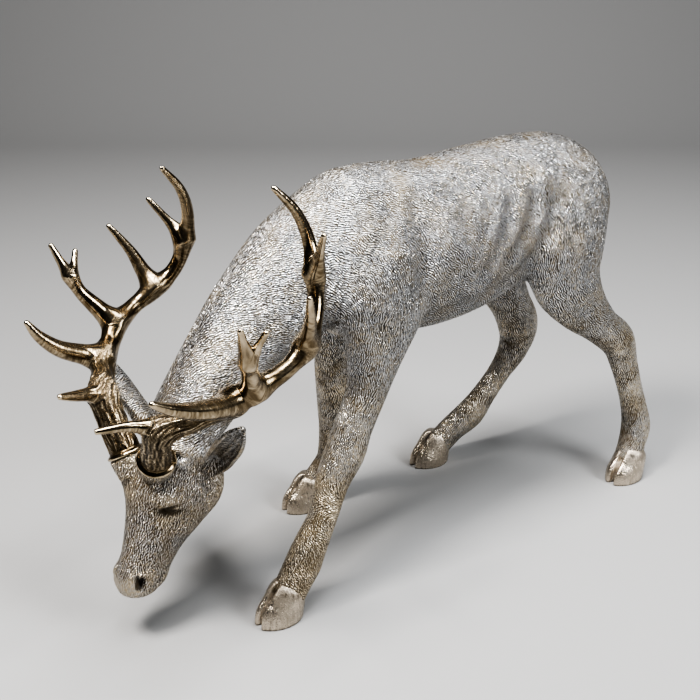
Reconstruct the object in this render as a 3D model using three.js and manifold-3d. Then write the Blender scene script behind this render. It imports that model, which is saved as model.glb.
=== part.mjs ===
// A cast statue of a grazing stag, in millimetres, +Z up, head towards -X, standing on its four hooves.
// The animal is one casting. Each antler is a casting of its own that seats on a boss of the brow.
import * as THREE from 'three';
import { mergeVertices } from 'three/addons/utils/BufferGeometryUtils.js';
import Module from 'manifold-3d';

const wasm = await Module();
wasm.setup();

const SEAT_GAP = 0.3;            // between an antler and the boss that it seats on
const CENTRE = [22.0, -3.4];     // moves the middle of the outline onto the origin
const TINY = 1e-3;               // places nearer than this are one
const LEAST_HALF = 0.5;          // no section is thinner than twice this
const LEFT = new THREE.Vector3(0, -1, 0);   // the stag's own left

// How finely each loft is faceted: rings along it and sides round it
const NET = {
  trunk: [32, 24],
  head: [20, 18],
  tail: [8, 8],
  leg: [17, 11],
  hoof: [6, 14],
  ear: [9, 10],
  earScoop: [7, 8],
  beam: [32, 9],
};
const TINE_NET = { ringsPerRow: 2, sides: 7 };
const DISC_SIDES = 16;

// The head's own frame. Its origin lies between the antlers, and its axes are
// forehead (out of the brow), left, and crown (from the nose up to the poll).
const HEAD_AT = new THREE.Vector3(-268.7, -9.2, 170.3);
const CROWN = new THREE.Vector3(0.322, 0.088, 0.943).normalize();
const HEAD_LEFT = new THREE.Vector3(0.185, -0.982, 0.028).projectOnPlane(CROWN).normalize();
const FOREHEAD = HEAD_LEFT.clone().cross(CROWN);

function onHead(forehead, left, crown) {
  return HEAD_AT.clone()
    .addScaledVector(FOREHEAD, forehead)
    .addScaledVector(HEAD_LEFT, left)
    .addScaledVector(CROWN, crown);
}

// Rows measured in the head's frame, with their places turned into the statue's frame.
function rowsOnHead(rows, side = 1) {
  return rows.map(([f, l, c, ...sizes]) => [...onHead(f, side * l, c).toArray(), ...sizes]);
}

// Samples a smooth curve through rows of numbers. The first three are a place, and their
// distances set the pace; the tangent at a row points from the row before to the row after.
function alongRows(rows, count) {
  const reach = [0];
  for (let i = 1; i < rows.length; i++) {
    const step = Math.hypot(...[0, 1, 2].map((k) => rows[i][k] - rows[i - 1][k]));
    reach.push(reach[i - 1] + Math.max(step, TINY));
  }
  const last = rows.length - 1;
  const slope = rows.map((row, i) => {
    const [a, b] = [Math.max(i - 1, 0), Math.min(i + 1, last)];
    return row.map((_, k) => (rows[b][k] - rows[a][k]) / (reach[b] - reach[a]));
  });
  const samples = [];
  for (let s = 0, i = 0; s < count; s++) {
    const at = (reach[last] * s) / (count - 1);
    while (i < last - 1 && at > reach[i + 1]) i++;
    const span = reach[i + 1] - reach[i];
    const t = (at - reach[i]) / span;
    samples.push(rows[i].map((_, k) =>
      (2 * t ** 3 - 3 * t ** 2 + 1) * rows[i][k] + (t ** 3 - 2 * t ** 2 + t) * span * slope[i][k]
      + (3 * t ** 2 - 2 * t ** 3) * rows[i + 1][k] + (t ** 3 - t ** 2) * span * slope[i + 1][k]));
  }
  return samples;
}

// A limb or a trunk: oval sections carried along a smooth line, closed at both ends.
// A row is [x, y, z, half width, rise, drop, taper]: the rise is the half height on the side of
// (line x left), the drop is the other one, and the taper narrows the section towards its rise.
function loft(rows, [rings, sides], left = LEFT) {
  const samples = alongRows(rows, rings);
  const places = samples.map((row) => new THREE.Vector3(...row));
  const points = [];
  samples.forEach(([, , , halfWidth, rise, drop, taper = 0], i) => {
    const line = places[Math.min(i + 1, rings - 1)].clone()
      .sub(places[Math.max(i - 1, 0)]).normalize();
    const across = left.clone().projectOnPlane(line).normalize();
    const upward = line.clone().cross(across);
    for (let j = 0; j < sides; j++) {
      const angle = (2 * Math.PI * j) / sides;
      const up = Math.sin(angle);
      const wide = Math.max(halfWidth, LEAST_HALF) * (1 - taper * up) * Math.cos(angle);
      const high = Math.max(up > 0 ? rise : drop, LEAST_HALF) * up;
      points.push(places[i].clone().addScaledVector(across, wide).addScaledVector(upward, high));
    }
  });
  const triangles = [];
  for (let i = 0; i < rings - 1; i++) {
    for (let j = 0; j < sides; j++) {
      const next = (j + 1) % sides;
      const [a, b] = [i * sides + j, i * sides + next];
      triangles.push(a, b, b + sides, a, b + sides, a + sides);
    }
  }
  const ends = [points.length, points.length + 1];
  points.push(places[0], places[rings - 1]);
  for (let j = 0; j < sides; j++) {
    const next = (j + 1) % sides;
    triangles.push(ends[0], next, j);
    triangles.push(ends[1], (rings - 1) * sides + j, (rings - 1) * sides + next);
  }
  return new THREE.BufferGeometry().setFromPoints(points).setIndex(triangles);
}

// Pushes a surface out (or in) along its normals by the millimetres that relief() gives at a place.
function carved(geometry, relief) {
  geometry.computeVertexNormals();
  const { position, normal } = geometry.attributes;
  const place = new THREE.Vector3();
  const out = new THREE.Vector3();
  for (let i = 0; i < position.count; i++) {
    place.fromBufferAttribute(position, i);
    out.fromBufferAttribute(normal, i);
    place.addScaledVector(out, relief(place));
    position.setXYZ(i, place.x, place.y, place.z);
  }
  return geometry;
}

function solid(geometry) {
  const bare = new THREE.BufferGeometry()
    .setAttribute('position', geometry.getAttribute('position'))
    .setIndex(geometry.index);
  const merged = mergeVertices(bare, TINY);
  return new wasm.Manifold(new wasm.Mesh({
    numProp: 3,
    vertProperties: new Float32Array(merged.attributes.position.array),
    triVerts: new Uint32Array(merged.index.array),
  }));
}

function joined(solids) {
  return solids.reduce((whole, piece) => whole.add(piece));
}

function meshOf(body, name, material) {
  const { vertProperties, triVerts } = body.getMesh();
  const geometry = new THREE.BufferGeometry()
    .setAttribute('position', new THREE.BufferAttribute(vertProperties, 3))
    .setIndex(new THREE.BufferAttribute(triVerts, 1));
  const mesh = new THREE.Mesh(geometry, material);
  mesh.name = name;
  return mesh;
}

// How far a place is from a line through the given points.
function distanceToLine(place, line) {
  const nearest = new THREE.Vector3();
  let least = Infinity;
  for (let i = 1; i < line.length; i++) {
    new THREE.Line3(line[i - 1], line[i]).closestPointToPoint(place, true, nearest);
    least = Math.min(least, nearest.distanceTo(place));
  }
  return least;
}

const bell = (x) => Math.exp(-x * x);

// Trunk and neck, from the rump to the poll
const TRUNK = [
  [233, 0, 286, 14, 17, 30, 0],
  [222, 0, 292, 33, 31, 52, 0],
  [203, 0, 298, 47, 59, 64, 0.10],
  [165, 0, 303, 52, 72, 72, 0.13],
  [120, 0, 307, 51, 72, 73, 0.14],
  [70, 0, 303, 56, 72.5, 84, 0.14],
  [15, 0, 298, 58, 73.5, 85, 0.10],
  [-35, 0, 298, 56, 77, 78, 0.10],
  [-75, 0, 302, 54, 72, 76, 0.16],
  [-112, 0, 296, 47, 53, 66, 0.12],
  [-142, 0, 275, 38, 47, 52, 0.08],
  [-172, -1, 246, 32, 44, 43, 0.04],
  [-203, -3, 219, 29, 35, 42, 0],
  [-232, -5, 192, 27, 26, 42, 0],
  [-252, -7, 170, 25, 19, 36, 0],
];

// Muscle and bone that swell the trunk on both flanks: centre, reach on each axis, and height
const SWELLINGS = [
  [-62, 50, 318, 34, 40, 46, 4.0],    // shoulder blade
  [-92, 46, 262, 30, 40, 34, 6.0],    // point of the shoulder
  [-40, 50, 258, 26, 40, 30, 4.0],    // upper arm
  [40, 56, 285, 60, 60, 46, 2.5],     // spring of the ribs
  [122, 40, 345, 20, 30, 16, 4.5],    // hip bone
  [168, 48, 290, 34, 40, 60, 4.0],    // thigh
  [222, 30, 300, 24, 30, 40, 3.0],    // buttock
];

// Folds of the hide on both flanks: the points that each runs through, its half width and depth
const FOLDS = [
  { line: [[-22, 50, 340], [-26, 56, 310], [-20, 58, 270]], half: 8, deep: 4.5 },
  { line: [[0, 52, 335], [-4, 58, 300], [2, 58, 262]], half: 7, deep: 2.5 },
  { line: [[52, 54, 322], [34, 60, 290], [12, 56, 250]], half: 7, deep: 2.5 },
  { line: [[84, 50, 325], [70, 58, 292], [44, 54, 248]], half: 7, deep: 3.0 },
  { line: [[108, 48, 322], [98, 54, 290], [76, 52, 252]], half: 8, deep: 4.5 },
  { line: [[132, 48, 318], [124, 54, 290], [106, 52, 258]], half: 7, deep: 3.5 },
  { line: [[208, 44, 315], [206, 44, 270]], half: 7, deep: 2.5 },
].map(({ line, half, deep }) => ({ line: line.map((p) => new THREE.Vector3(...p)), half, deep }));

function flankRelief(place) {
  const mirrored = new THREE.Vector3(place.x, Math.abs(place.y), place.z);
  let height = 0;
  for (const [x, y, z, rx, ry, rz, rise] of SWELLINGS) {
    const off = Math.hypot((place.x - x) / rx, (mirrored.y - y) / ry, (place.z - z) / rz);
    height += rise * bell(off);
  }
  for (const { line, half, deep } of FOLDS) {
    height -= deep * bell(distanceToLine(mirrored, line) / half);
  }
  return height;
}

// Head, in its own frame from the poll to the muzzle
const HEAD = [
  [-34, 0, 16, 13, 14, 16],
  [-33, 0, 8, 24, 26, 27],
  [-34, 0, -8, 31, 36, 42],
  [-33, 0, -24, 34, 41, 48],
  [-32, 0, -38, 34, 41, 46],
  [-30, 0, -56, 30, 35, 36],
  [-26, 0, -76, 24, 28, 29],
  [-22, 0, -96, 20, 23, 24.5],
  [-19, 0, -111, 18.5, 20.5, 23],
  [-19, 0, -121, 17, 19.5, 19],
  [-20, 0, -128.5, 12, 11, 14],
  [-20, 0, -132, 4.5, 3, 6],
];

// Forms of the face on both cheeks, in the head's frame: centre, reach and height
const FACE_FORMS = [
  [-6, 32, -34, 13, 12, 11, 6.0],     // brow ridge
  [-12, 28, -48, 9, 10, 6, -4.0],     // eye socket
  [-58, 26, -34, 22, 20, 22, 3.0],    // cheek
  [-3, 9, -124, 6, 6, 7, 2.5],        // nose pad beside the nostril
  [-8, 15, -130, 5, 6, 5, -4.0],      // nostril
  [-34, 14, -76, 14, 12, 18, -2.0],   // hollow of the muzzle
];

function faceRelief(place) {
  const off = place.clone().sub(HEAD_AT);
  const [f, l, c] = [off.dot(FOREHEAD), Math.abs(off.dot(HEAD_LEFT)), off.dot(CROWN)];
  return FACE_FORMS.reduce((height, [f0, l0, c0, rf, rl, rc, rise]) =>
    height + rise * bell(Math.hypot((f - f0) / rf, (l - l0) / rl, (c - c0) / rc)), 0);
}

// Ears: a leaf with a scooped front, in the head's frame
const EAR_LEAF = [
  [-42, 24, -14, 7, 7, 7],
  [-41, 35, -5, 9.5, 9, 7],
  [-36, 48, 5, 11.5, 9, 7],
  [-30, 60, 16, 12, 8, 7],
  [-25, 71, 27, 11.5, 6.5, 6],
  [-22, 79, 37, 8.5, 4.5, 4.5],
  [-20.5, 86, 46, 2.5, 2, 2],
];
const EAR_SCOOP = [
  [-34, 44, -4, 4, 4, 3],
  [-30, 53, 4, 8.5, 9, 4],
  [-25, 64, 15, 9.5, 9.5, 4],
  [-20, 74, 25, 8.5, 8, 4],
  [-17, 82, 34, 4, 4, 3],
];
const EAR_EDGE = [-0.72, 0.57, -0.39];   // across the leaf, at a right angle to its length

function ear(side) {
  const rim = onHead(EAR_EDGE[0], side * EAR_EDGE[1], EAR_EDGE[2]).sub(HEAD_AT).multiplyScalar(side);
  const leaf = solid(loft(rowsOnHead(EAR_LEAF, side), NET.ear, rim));
  const scoop = solid(loft(rowsOnHead(EAR_SCOOP, side), NET.earScoop, rim));
  return leaf.subtract(scoop);
}

// Legs, from inside the trunk down to the hoof: half width, front half and back half
const LEGS = {
  frontLeft: {
    rows: [
      [-46, -34, 300, 18, 30, 28], [-54, -42, 262, 20, 35, 39], [-66, -48, 228, 19, 26, 32.5],
      [-77, -52, 190, 17.5, 19, 19], [-93.5, -55, 160, 17.5, 17, 17], [-104, -57, 138, 18, 18, 18],
      [-119, -60, 115, 15.5, 15.5, 15], [-130, -63, 88, 14, 12.7, 12.1], [-148, -66, 58, 15, 16.5, 15],
      [-155, -67, 45, 16, 17.5, 15.5], [-164, -68, 31, 15.5, 17.5, 13.5], [-172, -69, 20, 15, 17, 14],
    ],
    hoof: [-180, -69, -0.06],
  },
  frontRight: {
    rows: [
      [-48, 34, 300, 18, 30, 28], [-50, 42, 262, 20, 36, 34], [-46, 48, 228, 18, 27, 27],
      [-42, 54, 190, 17, 21, 22], [-41, 58, 160, 17, 19, 19], [-39, 61, 138, 18, 17.5, 19.5],
      [-38, 65, 115, 16, 15, 16.5], [-35.5, 69, 88, 14.5, 13.5, 14], [-35, 72, 58, 15, 13, 14],
      [-37, 73, 45, 15.5, 13, 16], [-48, 74, 31, 14.7, 13.5, 14], [-58, 75, 20, 14.6, 14, 13.5],
    ],
    hoof: [-66, 75.5, 0.05],
  },
  hindLeft: {
    rows: [
      [173, -26, 325, 12, 26, 26], [171, -37, 280, 23, 52, 40], [168, -43, 245, 22, 43, 36.5],
      [184, -47, 214, 19, 31, 28], [214, -50, 183, 16, 21, 19], [239, -53, 158, 14.5, 18, 20],
      [251, -55, 132, 13.5, 15.5, 14], [261, -58, 102, 12.5, 14, 12.5], [269, -61, 74, 13, 15, 14],
      [271, -64, 54, 15, 16.5, 15.5], [265, -67, 36, 14.3, 16, 13], [259, -69, 20, 14.5, 17, 13],
    ],
    hoof: [254, -71, -0.02],
  },
  hindRight: {
    rows: [
      [172, 26, 325, 12, 26, 26], [168, 37, 280, 23, 50, 40], [155, 44, 245, 22, 39, 36],
      [164, 48, 214, 19, 30, 27], [185, 52, 178, 16.5, 24, 23], [200, 55, 146, 16.5, 24, 25],
      [196, 57, 120, 14.5, 18, 19], [181, 60, 95, 12.5, 12, 12.5], [160.5, 62, 70, 12.8, 13, 13.5],
      [144.5, 64, 52, 14.8, 15.5, 17], [123.5, 69, 36, 14, 14, 15], [108, 73, 20, 14.2, 15, 13.5],
    ],
    hoof: [99.5, 75, 0.05],
  },
};

// A cloven hoof: rows of height, set back of the middle, half width, toe reach and heel reach.
// Its front slopes, a narrow wedge splits the toe, and the floor cuts the sole flat.
const HOOF = [
  [36, 13, 10, 10, 10],
  [29, 11, 15.2, 17, 14.5],
  [17, 6, 17, 20.5, 18],
  [5, 0, 18, 23.5, 20.5],
  [-4, 0, 16.5, 22, 19],
];
const CLEFT = { from: 30, to: 8, wide: 5.5, bottom: -2, top: 34, lean: 0.45 };

function hoof([x, y, toeOut]) {
  const rows = HOOF.map(([z, back, halfWidth, toe, heel]) => [back, 0, z, halfWidth, toe, heel]);
  const wedge = new THREE.Shape([
    new THREE.Vector2(-CLEFT.from, -CLEFT.wide / 2),
    new THREE.Vector2(-CLEFT.from, CLEFT.wide / 2),
    new THREE.Vector2(-CLEFT.to, 0),
  ]);
  const depth = CLEFT.top - CLEFT.bottom;
  const cleft = new THREE.ExtrudeGeometry(wedge, { depth, bevelEnabled: false })
    .applyMatrix4(new THREE.Matrix4().makeShear(0, 0, 0, 0, CLEFT.lean, 0))
    .translate(0, 0, CLEFT.bottom);
  cleft.deleteAttribute('normal');
  cleft.deleteAttribute('uv');
  return solid(loft(rows, NET.hoof))
    .subtract(solid(cleft))
    .rotate([0, 0, THREE.MathUtils.radToDeg(toeOut)])
    .translate([x, y, 0]);
}

function leg({ rows, hoof: foot }) {
  return solid(loft(rows, NET.leg)).add(hoof(foot));
}

// Tail: a short flap that lies on the rump
const TAIL = [
  [200, 0, 345, 6, 7, 8],
  [216, 0, 331, 8, 5, 7],
  [226, 0, 314, 9, 5, 7],
  [232, 0, 296, 8, 4.5, 6],
  [233, 0, 280, 3, 3, 4],
];

// Antlers, in the head's frame: rows of forehead, left, crown and radius. The two are near mirror
// images, modelled by hand, so each has its own places. Every tine starts inside the beam.
const ANTLERS = {
  left: {
    beam: [
      [4, 20, -3, 13], [8, 24, 2, 12.5], [16, 31, 11, 12], [25, 45, 30, 11.5], [12, 66, 48, 9.5],
      [-8, 85, 69, 9.5], [-17, 94, 80, 8.5], [-37, 102, 99, 7.5], [-53, 102, 119, 7.5], [-63, 94, 146, 6.8],
      [-61, 85, 175, 6.5], [-52, 79, 201, 5.4], [-37, 75, 219, 4.3], [-14, 70, 233, 1.6],
    ],
    tines: [
      [[22, 44, 30, 9.5], [36, 41, 33, 6], [52, 38, 33, 4.4], [76, 31, 27, 1.6]],
      [[-6, 85, 68, 10.5], [12, 91, 65, 9], [39, 93, 63, 7.2], [62, 95, 65, 4.8], [80, 95, 69, 1.8]],
      [[-16, 93, 79, 10], [-2, 103, 91, 7.6], [18, 115, 109, 5.5], [45, 132, 134, 1.6]],
      [[14, 113, 106, 3.5], [17, 123, 120, 2.6], [20, 132, 134, 1.3]],
      [[-54, 101, 118, 9], [-43, 111, 130, 6.8], [-31, 122, 143, 4.8], [-12, 135, 162, 1.6]],
      [[-61, 85, 171, 7.5], [-54, 94, 184, 5.4], [-47, 101, 193, 3.8], [-35, 113, 207, 1.5]],
    ],
  },
  right: {
    beam: [
      [5, 18, -11, 13.5], [9, 24, -1, 13], [14, 32, 11, 12.5], [20, 46, 34, 11.5], [9, 66, 45, 10],
      [-2, 83, 56, 9.5], [-20, 99, 82, 8.5], [-37, 103, 100, 7.5], [-53, 99, 117, 7.5], [-65, 93, 139, 6.8],
      [-65, 85, 166, 6.5], [-55, 78, 192, 5.4], [-39, 74, 211, 4.3], [-14, 72, 226, 1.6],
    ],
    tines: [
      [[18, 44, 34, 10], [34, 41, 35, 6.4], [52, 38, 34, 4.6], [71, 32, 35, 1.6]],
      [[-2, 82, 55, 11], [16, 88, 56, 9.2], [41, 90, 60, 7.2], [60, 93, 69, 5], [73, 95, 80, 1.8]],
      [[-20, 99, 81, 10.5], [-3, 108, 93, 8], [16, 117, 108, 5.5], [41, 131, 141, 1.6]],
      [[22, 120, 116, 4], [18, 125.5, 127, 2.8], [16, 131, 139, 1.3]],
      [[-53, 99, 116, 9.5], [-43, 110, 131, 7], [-33, 120, 146, 4.8], [-16, 136, 164, 1.6]],
      [[-65, 86, 163, 8], [-57, 94, 174, 5.6], [-49, 100, 182, 3.8], [-36, 113, 195, 1.5]],
    ],
  },
};
const BURR = { radius: 16.5, topRadius: 13.5, high: 4.5 };  // the thick ring at an antler's foot
const BOSS = { radius: 15.5, rootRadius: 13.5, deep: 18 };  // the seat of the antler on the brow
const FOOT_CUT = { radius: 40, deep: 30 };      // takes off what the rods have below the seat
const CLEARING = { radius: 17.5, high: 45 };    // kept free of the head over each boss
const FLOOR = { length: 700, width: 300, deep: 40 };

function rodRows(rows, side) {
  return rowsOnHead(rows, side).map(([x, y, z, radius]) => [x, y, z, radius, radius, radius]);
}

// The foot of a beam, and the way that the beam leaves it
function seatOf(side, beam) {
  const [foot, next] = rodRows(beam.slice(0, 2), side).map((row) => new THREE.Vector3(...row));
  return { foot, line: next.sub(foot).normalize() };
}

// A round disc or boss that starts at a place and runs along a line
function disc(place, line, low, high, radiusLow, radiusHigh) {
  const turn = new THREE.Quaternion().setFromUnitVectors(new THREE.Vector3(0, 1, 0), line);
  const round = new THREE.CylinderGeometry(radiusHigh, radiusLow, high - low, DISC_SIDES)
    .translate(0, (low + high) / 2, 0)
    .applyQuaternion(turn)
    .translate(place.x, place.y, place.z);
  round.deleteAttribute('normal');
  round.deleteAttribute('uv');
  return solid(round);
}

function tine(rows) {
  return solid(loft(rows, [TINE_NET.ringsPerRow * rows.length, TINE_NET.sides]));
}

function antler(side, { beam, tines }) {
  const { foot, line } = seatOf(side, beam);
  const rods = [
    solid(loft(rodRows(beam, side), NET.beam)),
    ...tines.map((rows) => tine(rodRows(rows, side))),
    disc(foot, line, SEAT_GAP / 2, BURR.high, BURR.radius, BURR.topRadius),
  ];
  const belowSeat = disc(foot, line, -FOOT_CUT.deep, SEAT_GAP / 2, FOOT_CUT.radius, FOOT_CUT.radius);
  return joined(rods).subtract(belowSeat);
}

function boss(side, { beam }) {
  const { foot, line } = seatOf(side, beam);
  return disc(foot, line, -BOSS.deep, -SEAT_GAP / 2, BOSS.rootRadius, BOSS.radius);
}

function clearOfSeat(side, { beam }) {
  const { foot, line } = seatOf(side, beam);
  return disc(foot, line, -SEAT_GAP / 2, CLEARING.high, CLEARING.radius, CLEARING.radius);
}

function stag() {
  const trunk = solid(carved(loft(TRUNK, NET.trunk), flankRelief));
  const head = solid(carved(loft(rowsOnHead(HEAD), NET.head, HEAD_LEFT), faceRelief));
  const whole = joined([
    trunk,
    head,
    solid(loft(TAIL, NET.tail)),
    ear(1),
    ear(-1),
    ...Object.values(LEGS).map(leg),
    boss(1, ANTLERS.left),
    boss(-1, ANTLERS.right),
  ]);
  const slab = new THREE.BoxGeometry(FLOOR.length, FLOOR.width, FLOOR.deep);
  const floor = solid(slab.translate(0, 0, -FLOOR.deep / 2));
  return whole
    .subtract(clearOfSeat(1, ANTLERS.left))
    .subtract(clearOfSeat(-1, ANTLERS.right))
    .subtract(floor);
}

const antiqueSilver = new THREE.MeshStandardMaterial({ color: 0xa39a88, roughness: 0.42, metalness: 0.9 });
const rubbedBrass = new THREE.MeshStandardMaterial({ color: 0x9a8560, roughness: 0.28, metalness: 0.95 });

const statue = new THREE.Group();
statue.position.set(CENTRE[0], CENTRE[1], 0);
statue.add(meshOf(stag(), 'stag', antiqueSilver));
statue.add(meshOf(antler(1, ANTLERS.left), 'antler_left', rubbedBrass));
statue.add(meshOf(antler(-1, ANTLERS.right), 'antler_right', rubbedBrass));

export default statue;
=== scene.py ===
import math

import bpy
import numpy as np
from mathutils import Matrix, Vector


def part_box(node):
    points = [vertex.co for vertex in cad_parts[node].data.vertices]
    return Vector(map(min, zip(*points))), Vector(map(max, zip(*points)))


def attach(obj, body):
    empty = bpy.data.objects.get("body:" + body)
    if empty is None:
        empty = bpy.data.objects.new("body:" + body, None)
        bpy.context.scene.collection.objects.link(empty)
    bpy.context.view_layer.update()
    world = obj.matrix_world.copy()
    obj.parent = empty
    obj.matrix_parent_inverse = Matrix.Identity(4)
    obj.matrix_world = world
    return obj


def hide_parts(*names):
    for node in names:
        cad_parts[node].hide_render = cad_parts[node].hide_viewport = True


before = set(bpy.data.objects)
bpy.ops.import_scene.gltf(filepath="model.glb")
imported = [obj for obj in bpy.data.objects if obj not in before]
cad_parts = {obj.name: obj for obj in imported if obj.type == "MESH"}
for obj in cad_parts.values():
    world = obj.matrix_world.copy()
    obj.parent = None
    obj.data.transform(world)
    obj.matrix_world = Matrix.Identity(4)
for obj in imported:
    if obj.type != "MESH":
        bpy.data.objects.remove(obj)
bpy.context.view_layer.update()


# The trunk, neck and tail. The real animal is one hollow metal casting. Sizes are in millimetres in
# the sculptor's frame, and SHIFT takes them to the middle of the statue's outline. A row is a place,
# half width, rise above it, drop below it and, where the back is the narrower, its taper.
MM = 0.001
SHIFT = np.array([22.0, -3.4, 0.0])
LEFT = np.array([0.0, -1.0, 0.0])
LEAST_HALF = 0.5
SLIVER, TINY = 1e-3, 1e-9
TRUNK = [
    (233, 0, 286, 14, 17, 30, 0),
    (222, 0, 292, 33, 31, 52, 0),
    (203, 0, 298, 47, 59, 64, 0.10),
    (165, 0, 303, 52, 72, 72, 0.13),
    (120, 0, 307, 51, 72, 73, 0.14),
    (70, 0, 303, 56, 72.5, 84, 0.14),
    (15, 0, 298, 58, 73.5, 85, 0.10),
    (-35, 0, 298, 56, 77, 78, 0.10),
    (-75, 0, 302, 54, 72, 76, 0.16),
    (-112, 0, 296, 47, 53, 66, 0.12),
    (-142, 0, 275, 38, 47, 52, 0.08),
    (-172, -1, 246, 32, 44, 43, 0.04),
    (-203, -3, 219, 29, 35, 42, 0),
    (-232, -5, 192, 27, 26, 42, 0),
    (-252, -7, 170, 25, 19, 36, 0),
]
TAIL = [
    (200, 0, 345, 6, 7, 8),
    (216, 0, 331, 8, 5, 7),
    (226, 0, 314, 9, 5, 7),
    (232, 0, 296, 8, 4.5, 6),
    (233, 0, 280, 3, 3, 4),
]
TRUNK_NET, TAIL_NET = (150, 120), (30, 24)


def unit(vectors):
    """Each row divided by its own length."""
    return vectors / np.maximum(np.linalg.norm(vectors, axis=-1, keepdims=True), TINY)


def along_rows(rows, count):
    """Cubic Hermite pieces through the rows, paced by the distance between their places. The slope
    at a row points from the row before it to the row after it."""
    rows = np.asarray(rows, float)
    steps = np.linalg.norm(np.diff(rows[:, :3], axis=0), axis=1)
    reach = np.concatenate([[0], np.cumsum(steps)])
    slope = np.empty_like(rows)
    slope[1:-1] = (rows[2:] - rows[:-2]) / (reach[2:] - reach[:-2])[:, None]
    slope[0] = (rows[1] - rows[0]) / (reach[1] - reach[0])
    slope[-1] = (rows[-1] - rows[-2]) / (reach[-1] - reach[-2])
    at = np.linspace(0, reach[-1], count)
    i = np.clip(np.searchsorted(reach, at, "right") - 1, 0, len(rows) - 2)
    span = (reach[i + 1] - reach[i])[:, None]
    t = ((at - reach[i]) / span[:, 0])[:, None]
    return ((2 * t**3 - 3 * t**2 + 1) * rows[i] + (t**3 - 2 * t**2 + t) * span * slope[i]
            + (3 * t**2 - 2 * t**3) * rows[i + 1] + (t**3 - t**2) * span * slope[i + 1])


def sections(rows, count, left=LEFT):
    """The oval sections along a line, one per row of the result: centre, the three axes (line,
    across, upward), half width, rise, drop and taper."""
    rows = np.array([tuple(row) + (0,) * (7 - len(row)) for row in rows], float)
    sampled = along_rows(rows, count)
    centre = sampled[:, :3]
    line = unit(np.gradient(centre, axis=0))
    across = unit(left - (line @ left)[:, None] * line)
    sizes = np.maximum(sampled[:, 3:6], LEAST_HALF)
    return np.hstack([centre, line, across, np.cross(line, across), sizes, sampled[:, 6:7]])


def skinned(grid):
    """Faces of a closed tube: quads between the rings of a (rings, sides, 3) grid, each cut in two,
    and a fan of triangles to a middle point at both ends."""
    rings, sides = grid.shape[:2]
    here = np.arange(rings * sides).reshape(rings, sides)
    beside = np.roll(here, -1, axis=1)
    a, b, c, d = here[:-1], beside[:-1], beside[1:], here[1:]
    halves = [np.stack(corners, -1).reshape(-1, 3) for corners in ([a, b, c], [a, c, d])]
    first = np.full(sides, rings * sides)
    caps = [np.stack([first, beside[0], here[0]], -1), np.stack([first + 1, here[-1], beside[-1]], -1)]
    points = np.concatenate([grid.reshape(-1, 3), grid[:1].mean(1), grid[-1:].mean(1)])
    return points, np.concatenate([*halves, *caps])


def limb(rows, net, left=LEFT):
    """A closed tube: at angle a of a section the point is centre + across * half width
    * (1 - taper * sin a) * cos a + upward * (rise or drop) * sin a. The net is the number of rings
    and of points round each."""
    rings, sides = net
    at = sections(rows, rings, left)[:, None]
    angle = np.linspace(0, 2 * np.pi, sides, endpoint=False)[None, :, None]
    up = np.sin(angle)
    wide = at[..., 12:13] * (1 - at[..., 15:16] * up) * np.cos(angle)
    high = np.where(up > 0, at[..., 13:14], at[..., 14:15]) * up
    return skinned(at[..., 0:3] + at[..., 6:9] * wide + at[..., 9:12] * high)


def nearness(points, rows, left=LEFT, count=60):
    """How far each point is outside a limb (negative inside), how far along it the point lies
    (0 to 1), the limb's direction there and the angle round it. The section is the one whose centre
    is nearest, slid along the line to stand level with the point."""
    at = sections(rows, count, left)
    centre = at[:, :3]
    apart = (centre**2).sum(1) - 2 * points @ centre.T
    nearest = apart.argmin(1)
    step = np.linalg.norm(centre[1] - centre[0])
    ahead = ((points - centre[nearest]) * at[nearest, 3:6]).sum(1)
    place = np.clip(nearest + ahead / step, 0, count - 1 - SLIVER)
    low = place.astype(int)
    part = (place - low)[:, None]
    here = at[low] * (1 - part) + at[low + 1] * part
    off = points - here[:, :3]
    beyond = np.abs((off * here[:, 3:6]).sum(1))
    x = (off * here[:, 6:9]).sum(1)
    y = (off * here[:, 9:12]).sum(1)
    high = np.where(y > 0, here[:, 13], here[:, 14])
    wide = here[:, 12] * (1 - here[:, 15] * np.clip(y / high, -1, 1))
    ratio = np.maximum(np.hypot(x / wide, y / high), SLIVER)
    outside = (ratio - 1) / ratio * np.hypot(x, y)
    outside = np.where(beyond > step, np.hypot(np.maximum(outside, 0), beyond), outside)
    return outside, place / (count - 1), unit(here[:, 3:6]), np.arctan2(y / high, x / wide)


shells = {"trunk": limb(TRUNK, TRUNK_NET), "tail": limb(TAIL, TAIL_NET)}


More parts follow.
